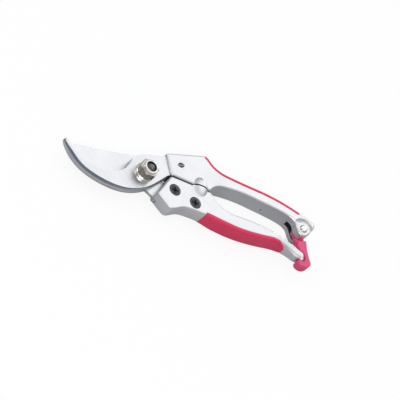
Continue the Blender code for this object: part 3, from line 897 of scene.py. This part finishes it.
def hook():
    """The counter blade: ground faces, and a wide chamfer along its outer rim."""
    points = outline(HOOK, 0.7)
    # The chamfer runs along the outer side and narrows towards the tip
    shares = [
        0.4 + 0.6 * ramp(spot.x, -67, -57) if into[1] > 0.05 and spot.x < 21 else 0.0
        for spot, into in zip(points, inward(points))
    ]
    count = len(points)
    soft = [
        sum(shares[(index + step) % count] for step in range(-3, 4)) / 7 for index in range(count)
    ]
    table = {tuple(spot): share for spot, share in zip(points, soft)}
    low, high = HOOK_Z
    profile = [
        (0.15, low), (0, low + 0.2), (0, high - 2.9), (0.06, high - 2.3), (0.2, high - 1.7),
        (0.45, high - 1.0), (0.8, high - 0.4), (1.15, high),
    ]
    band = 2.2
    shape = loft(points, profile, lambda spot: table[tuple(spot)])
    for vert in shape.verts:
        vert.co.z = TIP_Z + (vert.co.z - TIP_Z) * tip_share(vert.co.x)
    item = made(shape)
    cut(item, cylinder(BORE_R, -10, 20, (0, 0)))
    place(item, "hook_blade_skin", "fixed_side", "blade_steel", GROUND, ["hook_blade"])
    # The chamfer band and the walls facing +Y get the rim steel, whose darker colour is a painted
    # reflection.
    second_look(item, RIM_REFLECTION, lambda at, facing: abs(facing.z) < 0.95 and (
        facing.y > 0 or TIP_Z + (at.z - TIP_Z) / tip_share(at.x) > high - band
    ))
    crisp(item, 38)


def blade():
    """The cutting blade, with its bevel ground on the back."""
    points = outline(BLADE, 0.7)

    def edge(spot):
        """How much of the bevel applies: all of it in front of the pivot, hardly any elsewhere."""
        if spot.x > -8 or spot.y > 3.2:
            return 0.06
        return 0.06 + 0.94 * ramp(-spot.x, 8, 16)

    low, high = BLADE_Z
    profile = [(4.2, low), (3.8, low + 0.12), (0.35, high - 0.5), (0, high - 0.28), (0, high)]
    item = made(loft(points, profile, edge))
    cut(item, cylinder(BORE_R, -10, 20, (0, 0)))
    place(item, "cutting_blade_skin", "blade_side", "blade_steel", GROUND_BLADE, ["cutting_blade"])
    crisp(item, 12)


def screws():
    """Countersunk screws with cross recesses and a paler ring round the head."""
    for name, at in BLADE_SCREWS.items():
        screw(name, at, FACE_Z, -5.2, "blade_side")
    for name, at in HOOK_SCREWS.items():
        screw(name, at, BLOCK_BACK_Z, 5.6, "fixed_side")


def screw(name, at, face, end, body):
    """One screw, from the face it is sunk in to its end."""
    side = 1 if face > 0 else -1
    top = face - side * 0.15
    # (radius, depth below the top)
    head = [
        (0, 0.05), (3.3, 0.05), (3.42, -0.04), (3.8, -0.02), (4.35, 0.4), (4.4, 0.65), (2.6, 2.4),
        (2.5, 2.6),
    ]
    profile = [(radius, top - side * depth) for radius, depth in head]
    item = turned([*profile, (2.5, end + side * 0.5), (2.0, end), (0, end)], (*at, 0))
    low, high = sorted((top - side * 1.7, top + side))
    for length, width in ((2.7, 0.5), (0.5, 2.7)):
        cut(item, box((at[0] - length, at[1] - width, low), (at[0] + length, at[1] + width, high)))
    cone = [(0, top + side), (1.5, top + side), (0.5, top - side * 2.2), (0, top - side * 2.2)]
    cut(item, turned(cone, (*at, 0), 24))
    place(item, name + "_skin", body, "black_steel", DARK, [name])
    centre = Vector(at)
    second_look(item, HEAD, lambda spot, facing: (
        3.3 < (spot.xy - centre).length < 3.85 and abs(spot.z - top) < 0.3
    ))
    crisp(item, 30)


def ring(name, inner, outer, low, high, ease, slot, look, at=(0, 0)):
    """A washer with eased edges."""
    profile = [
        (0, high), (outer - ease, high), (outer, high - ease), (outer, low + ease),
        (outer - ease, low), (0, low),
    ]
    item = turned(profile, (*at, 0), 96)
    cut(item, cylinder(inner, low - 5, high + 5, at))
    place(item, name + "_skin", "fixed_side", slot, look, [name])
    crisp(item, 30)


def nut():
    """A hexagon with cone-cut corners, and a thin collar rolled over a nylon ring."""
    low, high, top = FACE_Z, NUT_TOP, COLLAR_TOP
    flat, turn = 6.5, math.radians(38)
    corner = flat * 2 / math.sqrt(3)
    item = cylinder(corner, low, high, (0, 0), 6)
    item.data.transform(Matrix.Rotation(turn, 4, "Z"))
    cone = [
        (0, high), (flat - 0.15, high), (corner + 0.1, high - 0.75), (corner + 0.1, low + 0.75),
        (flat - 0.15, low), (0, low),
    ]
    combine(item, turned(cone, segments=128), "INTERSECT")
    collar = [
        (0, top), (4.75, top), (5.15, top - 0.08), (5.45, top - 0.3), (5.6, top - 0.7),
        (5.6, high + 0.3), (5.75, high), (5.8, low + 2), (0, low + 2),
    ]
    combine(item, turned(collar, segments=128), "UNION")
    cut(item, cylinder(4.25, 0, 20, (0, 0)))
    cut(item, cylinder(4.75, high, top - 0.3, (0, 0)))
    ease = item.modifiers.new("ease", "BEVEL")
    ease.width = 0.16
    ease.segments = 2
    ease.limit_method = "ANGLE"
    ease.angle_limit = math.radians(28)
    ease.harden_normals = False
    settle(item)
    place(item, "pivot_nut_skin", "fixed_side", "nickel_plate", PLATED, ["pivot_nut"])
    # The flats get the darker streaked plate as a painted reflection.
    second_look(item, NUT_FLATS_REFLECTION, lambda at, facing: (
        abs(facing.z) < 0.3 and at.z < high and 5.9 < at.xy.length
    ))
    # The collar gets the brighter plate as a painted highlight.
    second_look(item, PIN_PLATE_AND_HIGHLIGHT, lambda at, facing: at.z > high + 0.2)
    crisp(item, 40)


def bolt():
    """The pivot bolt: a domed dark end inside the nut, and a low round head with a hex socket."""
    profile = [
        (0, 16.3), (0.8, 16.25), (1.6, 16.1), (2.4, 15.82), (3.1, 15.4), (3.6, 14.95), (3.95, 14.4),
        (4.0, -4.7), (7.3, -4.7), (7.6, -5.0), (7.55, -6.2), (7.1, -7.2), (6.2, -7.9), (5.2, -8.15),
        (0, BACK_Z),
    ]
    item = turned(profile, segments=96)
    cut(item, cylinder(2.9, -11, -5.6, (0, 0), 6))
    place(item, "pivot_bolt_skin", "fixed_side", "black_steel", BOLT_END, ["pivot_bolt"])
    crisp(item, 30)


def insert():
    """The nylon ring inside the nut's collar."""
    item = cylinder(4.65, 14.4, 15.5, (0, 0), 96)
    cut(item, cylinder(4.1, 10, 20, (0, 0)))
    place(item, "nut_insert_skin", "fixed_side", "nylon", NYLON, ["nut_insert"])
    crisp(item, 30)


def pin():
    """The catch's pin, with a domed head."""
    top = 9.4
    profile = [
        (0, top + 0.05), (1.4, top), (2.2, top - 0.12), (2.65, top - 0.4), (2.85, top - 0.85),
        (2.9, top - 1.4), (2.9, -7.2), (2.4, -7.8), (0, -7.8),
    ]
    item = turned(profile, (*PIN, 0), 64)
    place(item, "catch_pin_skin", "fixed_side", "nickel_plate", PIN_PLATE_AND_HIGHLIGHT, ["catch_pin"])
    crisp(item, 40)


def catch():
    """The thumb catch, with a thin eye round its pin."""
    item = made(loft(outline(CATCH, 0.6), rounded(-4, 4, 1.0, 1.0, 4)))
    eye = turned([(0, 0.95), (5.2, 0.95), (5.2, -0.95), (0, -0.95)], (*PIN, 0))
    merge(item, eye)
    stem = [Vector(corner) for corner in ((129.0, 4.4), (132.9, -3), (139.5, -3), (138.9, 4.6))]
    merge(item, prism(stem, -0.95, 0.95))
    neck = [Vector(corner) for corner in ((130.6, 1.4), (133, -3.2), (139.4, -3.2), (139.3, 1.4))]
    merge(item, prism(neck, -1.9, 1.9))
    remesh(item, CATCH_VOXEL, 5)
    cut(item, cylinder(EYE_BORE_R, -10, 10, PIN))
    place(item, "catch_lever_skin", "catch", "catch_plastic", PLASTIC, ["catch_lever"])


def spring():
    """A coil with closed ends, which follows both handles as they open."""
    mean, wire, turns, reach = 5.3, 0.65, 6, 5.1
    flat = 0.22  # half the wire's height along Y, which grows about four times as the jaws open
    closing = 0.044  # how far the turns crowd towards the ends
    per_turn, around = 40, 12
    along = Vector((0, 1, 0))
    shape = bmesh.new()
    rings = []
    count = per_turn * turns
    for index in range(count + 1):
        turn = index / per_turn
        angle = 2 * math.pi * turn
        share = turn / turns
        share -= closing * math.sin(2 * math.pi * share)
        y = -reach + flat + (2 * reach - 2 * flat) * share
        centre = Vector((mean * math.cos(angle), y, mean * math.sin(angle)))
        out = Vector((math.cos(angle), 0, math.sin(angle)))
        rings.append([
            shape.verts.new(centre + wire * math.cos(roll) * out + flat * math.sin(roll) * along)
            for roll in (2 * math.pi * step / around for step in range(around))
        ])
    skin_between(shape, rings)
    shape.faces.new(rings[0])
    shape.faces.new(rings[-1])
    bmesh.ops.recalc_face_normals(shape, faces=shape.faces)
    item = from_bmesh(shape)
    item.data.transform(Matrix.Translation(SPRING_AT))
    place(item, "return_spring_skin", None, "spring_steel", SPRING, ["return_spring"])
    crisp(item, 60)
    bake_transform(item)


def mark():
    """A small plain leaf printed on the block."""
    length, width, base, steps = 6.4, 1.9, Vector((25.4, 16.2)), 12
    tilt = math.radians(22)
    direction = Vector((math.cos(tilt), math.sin(tilt)))
    across = Vector((-direction.y, direction.x))
    halves = []
    for side in (1, -1):
        vein = [
            base + direction * length * index / steps + across * side * 0.16
            for index in range(steps + 1)
        ]
        arc = []
        for index in range(1, steps):
            share = 1 - index / steps
            half_width = 0.17 + width * math.sin(math.pi * share)
            arc.append(base + direction * length * share + across * side * half_width)
        halves.append(prism(vein + arc, FACE_Z - 0.02, FACE_Z + 0.04))
    item, other = halves
    merge(item, other)
    place(item, "leaf_mark", "fixed_side", "black_steel", PRINT)


# Stage

def softbox(name, where, at, size, power):
    """A rectangular light at a place, facing another."""
    data = bpy.data.lights.new(name, "AREA")
    data.shape = "RECTANGLE"
    data.size, data.size_y = size
    data.energy = power
    item = added(name, data)
    item.location = where
    item.rotation_euler = (Vector(at) - Vector(where)).to_track_quat("-Z", "Y").to_euler()


def floor():
    """A floor that is nearly white to the camera, and grey where it lights the tool."""
    shape = bmesh.new()
    bmesh.ops.create_grid(shape, x_segments=1, y_segments=1, size=6)
    item = made(shape)
    item.name = "floor"
    item.location = (0, 0, -0.0004)
    look = bpy.data.materials.new("floor")
    look.use_nodes = True
    tree = look.node_tree
    tree.nodes.clear()
    out = tree.nodes.new("ShaderNodeOutputMaterial")
    path = tree.nodes.new("ShaderNodeLightPath")
    dull = tree.nodes.new("ShaderNodeBsdfDiffuse")
    dull.inputs["Color"].default_value = (0.54, 0.545, 0.555, 1)
    pale = tree.nodes.new("ShaderNodeBsdfDiffuse")
    pale.inputs["Color"].default_value = (0.9, 0.9, 0.9, 1)
    glow = tree.nodes.new("ShaderNodeEmission")
    glow.inputs["Strength"].default_value = 1.04
    seen = tree.nodes.new("ShaderNodeMixShader")
    seen.inputs["Fac"].default_value = 0.16
    both = tree.nodes.new("ShaderNodeMixShader")
    tree.links.new(glow.outputs[0], seen.inputs[1])
    tree.links.new(pale.outputs[0], seen.inputs[2])
    tree.links.new(path.outputs["Is Camera Ray"], both.inputs["Fac"])
    tree.links.new(dull.outputs[0], both.inputs[1])
    tree.links.new(seen.outputs[0], both.inputs[2])
    tree.links.new(both.outputs[0], out.inputs["Surface"])
    item.data.materials.append(look)


def world():
    """A studio: bright above, dark near the horizon, and white where it is seen directly."""
    surroundings = bpy.data.worlds.new("studio")
    bpy.context.scene.world = surroundings
    surroundings.use_nodes = True
    tree = surroundings.node_tree
    background = tree.nodes["Background"]
    where = tree.nodes.new("ShaderNodeTexCoord")
    split = tree.nodes.new("ShaderNodeSeparateXYZ")
    levels = tree.nodes.new("ShaderNodeValToRGB")
    levels.color_ramp.elements[0].position = 0.0
    levels.color_ramp.elements[0].color = (0.05, 0.055, 0.065, 1)
    levels.color_ramp.elements[1].position = 0.8
    levels.color_ramp.elements[1].color = (0.6, 0.605, 0.62, 1)
    middle = levels.color_ramp.elements.new(0.3)
    middle.color = (0.3, 0.31, 0.33, 1)
    seen = tree.nodes.new("ShaderNodeBackground")
    seen.inputs["Color"].default_value = (1, 1, 1, 1)
    path = tree.nodes.new("ShaderNodeLightPath")
    both = tree.nodes.new("ShaderNodeMixShader")
    tree.links.new(where.outputs["Generated"], split.inputs[0])
    tree.links.new(split.outputs["Z"], levels.inputs["Fac"])
    tree.links.new(levels.outputs["Color"], background.inputs["Color"])
    tree.links.new(path.outputs["Is Camera Ray"], both.inputs["Fac"])
    tree.links.new(background.outputs[0], both.inputs[1])
    tree.links.new(seen.outputs[0], both.inputs[2])
    tree.links.new(both.outputs[0], tree.nodes["World Output"].inputs["Surface"])


def camera():
    """A long lens from in front, above and beside the blades, rolled as the tool was laid."""
    right = unit(Vector((0.840, 0.068, 0.539)))
    up = Vector((-0.351, 0.826, 0.443))
    up = unit(up - right * up.dot(right))
    back = right.cross(up)
    width, lens, sensor = 285.8 * MM, 1200, 36
    reach = lens / sensor * width
    target = PIVOT + right * 42.85 * MM - up * 16.9 * MM
    data = bpy.data.cameras.new("camera")
    data.lens = lens
    data.sensor_width = sensor
    data.clip_end = 50
    item = added("camera", data)
    turn = Matrix((right, up, back)).transposed().to_4x4()
    item.matrix_world = Matrix.Translation(target + back * reach) @ turn
    bpy.context.scene.camera = item


CAST = cast_look()
SLOT_SHADE = slot_shade_look()
PARTING_SHADE = parting_shade_look()
GROUND = ground_look("hook_steel")
RIM_REFLECTION = rim_reflection_look()
GROUND_BLADE = ground_look("edge_steel", (0.84, 0.85, 0.87))
PLATED = plated_look("nickel_plate", (0.66, 0.61, 0.54), (0.78, 0.75, 0.69))
# A brighter copy of the nickel plate: the pin's own plate, and a painted highlight on the nut's
# collar and on the front washer.
PIN_PLATE_AND_HIGHLIGHT = plated_look("pin_plate_and_painted_highlight", (0.84, 0.81, 0.74), (0.93, 0.9, 0.84))
NUT_FLATS_REFLECTION = nut_flats_reflection_look()
DARK = dark_look()
HEAD = head_look()
BOLT_END = bolt_look()
SPRING = spring_look()
RUBBER = rubber_look()
PLASTIC = plastic_look()
NYLON = nylon_look()
PRINT = print_look()

upper_handle()
lower_handle()
grip("upper_grip", UPPER_HANDLE, UPPER_GRIP_SPAN, 1, upper_scales, "fixed_side",
     UPPER_BACK_EDGE, UPPER_ENDS)
grip("lower_grip", LOWER_HANDLE, LOWER_GRIP_SPAN, -1, lower_scales, "blade_side",
     LOWER_BACK_EDGE, LOWER_ENDS)
hook()
blade()
screws()
# The front washer gets the brighter plate as a painted highlight.
ring("pivot_washer", BORE_R, 7.5, 6.4, 8.0, 0.25, "nickel_plate", PIN_PLATE_AND_HIGHLIGHT)
ring("head_washer", BORE_R, 7.5, -4.5, -3.2, 0.2, "nickel_plate", PLATED)
ring("catch_washer_front", 3.15, 4.9, 1.25, 1.9, 0.1, "spring_steel", SPRING, PIN)
ring("catch_washer_back", 3.15, 4.9, -1.9, -1.25, 0.1, "spring_steel", SPRING, PIN)
nut()
bolt()
insert()
pin()
catch()
spring()
mark()
floor()
world()
camera()
MIDDLE = (0.0, 0.0, 0.01)
softbox("overhead", (0.75, 0.95, 1.3), MIDDLE, (1.6, 1.6), 4.9)
softbox("left", (-1.3, 0.5, 0.9), MIDDLE, (0.7, 0.7), 3.5)
softbox("front", (-0.45, -1.1, 1.2), MIDDLE, (1.0, 0.6), 7.0)
softbox("rim", (0.95, 1.15, 0.3), MIDDLE, (0.5, 0.25), 1.2)
bpy.context.scene.view_settings.view_transform = "Standard"
